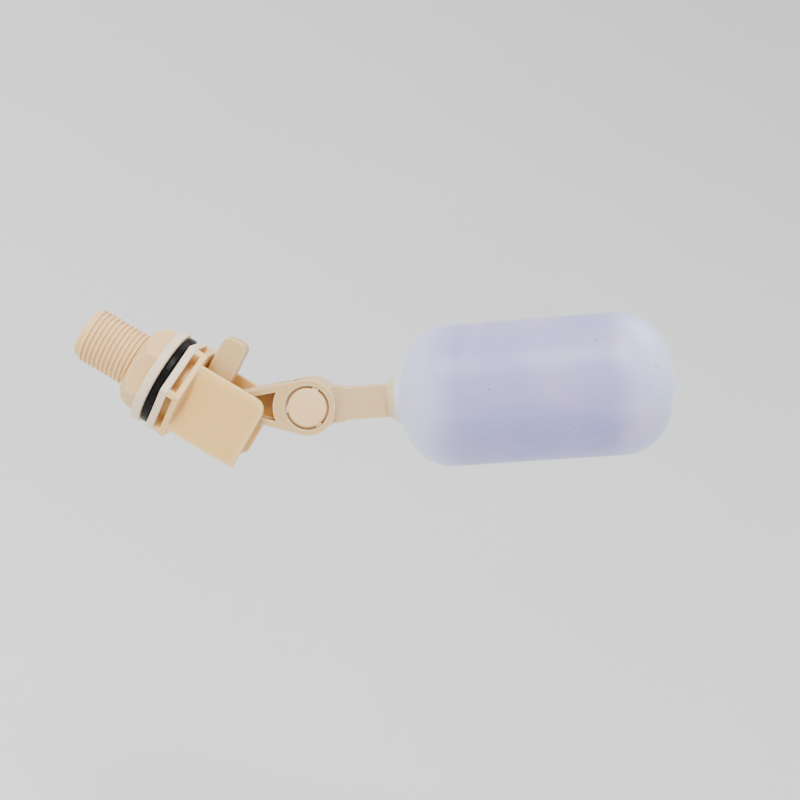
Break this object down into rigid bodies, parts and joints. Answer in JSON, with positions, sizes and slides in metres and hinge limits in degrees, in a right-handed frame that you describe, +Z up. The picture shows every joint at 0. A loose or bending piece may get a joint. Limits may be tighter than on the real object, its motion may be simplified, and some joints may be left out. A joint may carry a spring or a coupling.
{
  "type": "side-inlet float valve",
  "caption": "Plastic float valve: threaded inlet body with lock nut and gasket, a lever that shuts the nozzle, and a hollow float on an angle-set arm.",
  "frame": {"origin": "on the inlet axis, in the flange face that the gasket seals against", "axes": "+X along the inlet axis from the thread to the outlet, +Z up as installed, +Y along the lever's pivot towards the pin's head"},
  "size_m": [0.1985, 0.051, 0.126],
  "materials": {
    "body_cream": "satin moulded plastic",
    "nozzle_white": "satin moulded plastic",
    "gasket_rubber": "smooth moulded rubber",
    "nut_cream": "satin moulded plastic",
    "pin_white": "satin moulded plastic",
    "lever_cream": "satin moulded plastic",
    "pad_rubber": "matte rubber",
    "joint_pin_cream": "satin moulded plastic",
    "arm_cream": "satin moulded plastic",
    "plug_white": "satin moulded plastic",
    "float_milky": "milky blow-moulded plastic"
  },
  "bodies": {
    "housing": {"valve_body": "body_cream", "seat_nozzle": "nozzle_white", "gasket": "gasket_rubber", "pivot_pin": "pin_white"},
    "nut": {"lock_nut": "nut_cream"},
    "lever": {"lever": "lever_cream", "seal_pad": "pad_rubber", "joint_pin": "joint_pin_cream"},
    "arm": {"arm": "arm_cream", "float_plug": "plug_white", "float_shell": "float_milky"}
  },
  "joints": [
    {"name": "nut_travel", "type": "slide", "parent": "housing", "child": "nut", "axis": [-1, 0, 0], "range_m": [0, 0.016]},
    {"name": "lever_swing", "type": "hinge", "parent": "housing", "child": "lever", "pos_m": [0.0125, 0, -0.007], "axis": [0, 1, 0], "range_deg": [0, 40]},
    {"name": "arm_angle", "type": "hinge", "parent": "lever", "child": "arm", "pos_m": [0.0476, 0, 0.019], "axis": [0, 1, 0], "range_deg": [-70, 90]}
  ]
}
